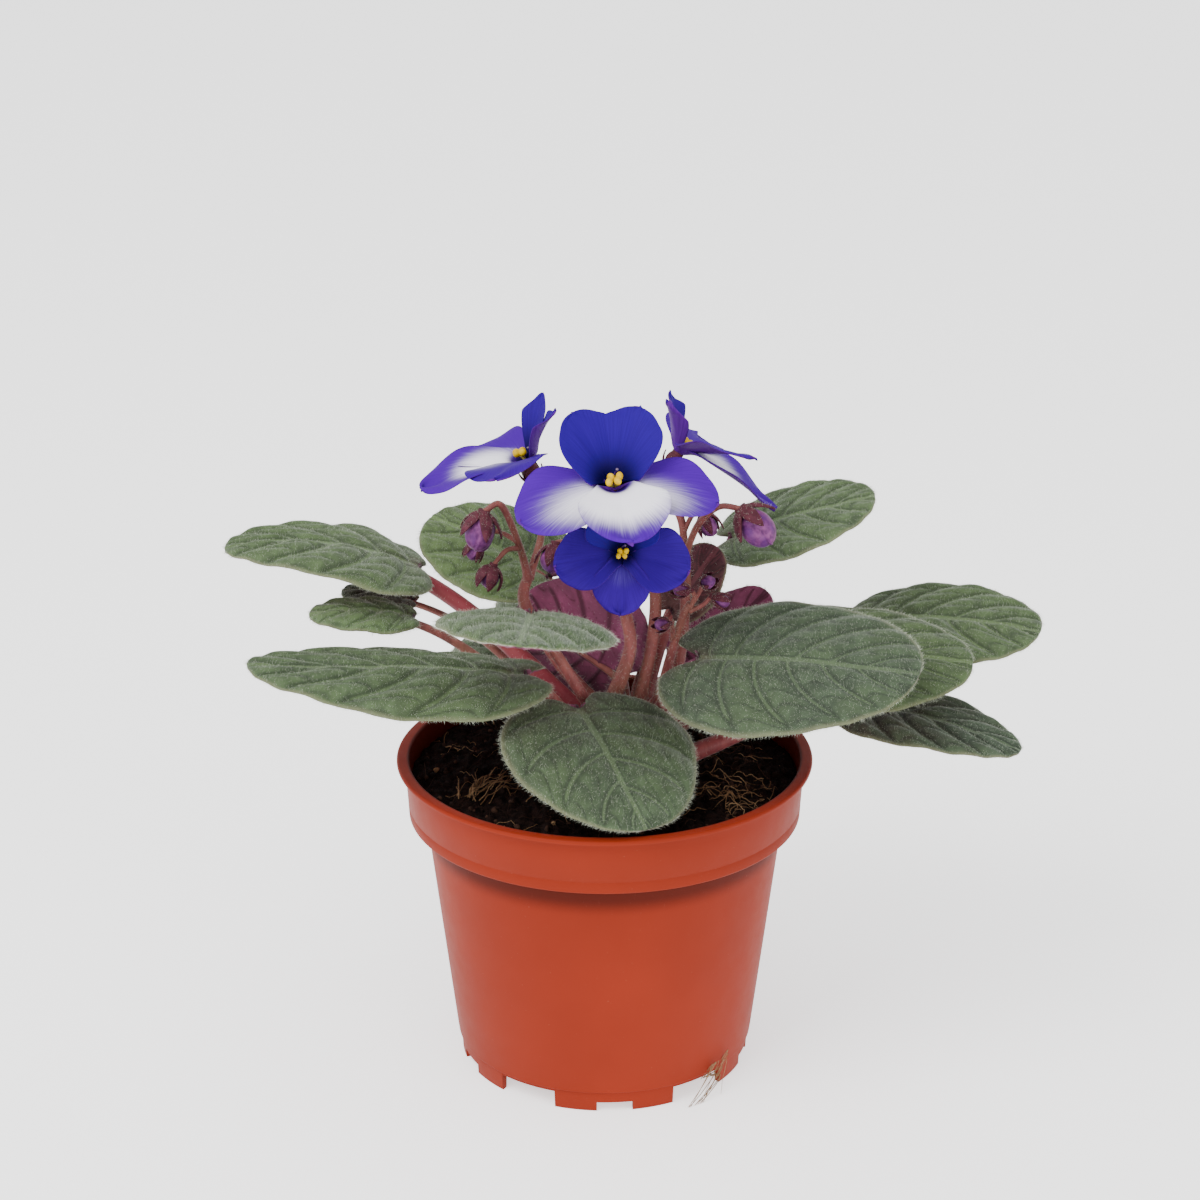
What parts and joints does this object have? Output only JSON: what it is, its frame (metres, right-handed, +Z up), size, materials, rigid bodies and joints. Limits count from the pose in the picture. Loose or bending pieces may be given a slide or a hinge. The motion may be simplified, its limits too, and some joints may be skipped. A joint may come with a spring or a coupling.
{
  "type": "potted african violet",
  "caption": "Potted African violet: a rosette of velvety rounded leaves, violet-blue flowers with pale centres and drooping purple buds in a terracotta-coloured plastic nursery pot.",
  "frame": {"origin": "centre of the pot's underside, on the plane the pot stands on and on the pot's own axis", "axes": "+Z up along the pot's axis, +X to the plant's right as seen from its front, -Y towards the front, where the middle flowers face"},
  "size_m": [0.1961, 0.1293, 0.1686],
  "materials": {
    "terracotta_plastic": "satin terracotta-coloured moulded plastic",
    "peat": "damp dark peat with loose fibres and crumbs",
    "crown_red": "brownish-red plant stem with fine hairs",
    "leaf_green": "grey-green velvety leaf with dense short white hairs and a plum-coloured underside on some leaves",
    "stalk_red": "brownish-pink stalk with fine white hairs",
    "bud_purple": "mauve closed petals in reddish-brown sepals",
    "petal_violet": "violet-blue petals that fade to white near the middle, with fine streaks",
    "anther_yellow": "bright yellow, slightly waxy",
    "pistil_purple": "purple style with a cream tip"
  },
  "bodies": {
    "root": {"anthers_left": "anther_yellow", "anthers_low": "anther_yellow", "anthers_middle": "anther_yellow", "anthers_right": "anther_yellow", "bud_centre_left": "bud_purple", "bud_left": "bud_purple", "bud_left_low": "bud_purple", "bud_left_small": "bud_purple", "bud_low_a": "bud_purple", "bud_low_b": "bud_purple", "bud_low_c": "bud_purple", "bud_low_d": "bud_purple", "bud_right": "bud_purple", "bud_right_back": "bud_purple", "corolla_left": "petal_violet", "corolla_low": "petal_violet", "corolla_middle": "petal_violet", "corolla_right": "petal_violet", "crown": "crown_red", "leaf_back": "leaf_green", "leaf_back_left": "leaf_green", "leaf_back_low": "leaf_green", "leaf_back_right": "leaf_green", "leaf_front": "leaf_green", "leaf_front_left": "leaf_green", "leaf_inner_left": "leaf_green", "leaf_inner_right": "leaf_green", "leaf_inner_small": "leaf_green", "leaf_left_high": "leaf_green", "leaf_left_low": "leaf_green", "leaf_left_small": "leaf_green", "leaf_left_tiny": "leaf_green", "leaf_right_far": "leaf_green", "leaf_right_front": "leaf_green", "leaf_right_high": "leaf_green", "leaf_right_low": "leaf_green", "leaf_right_mid": "leaf_green", "pistil_left": "pistil_purple", "pistil_low": "pistil_purple", "pistil_middle": "pistil_purple", "pistil_right": "pistil_purple", "pot": "terracotta_plastic", "potting_mix": "peat", "stalk_left": "stalk_red", "stalk_low": "stalk_red", "stalk_middle": "stalk_red", "stalk_right": "stalk_red", "stalk_young": "stalk_red"}
  },
  "joints": []
}
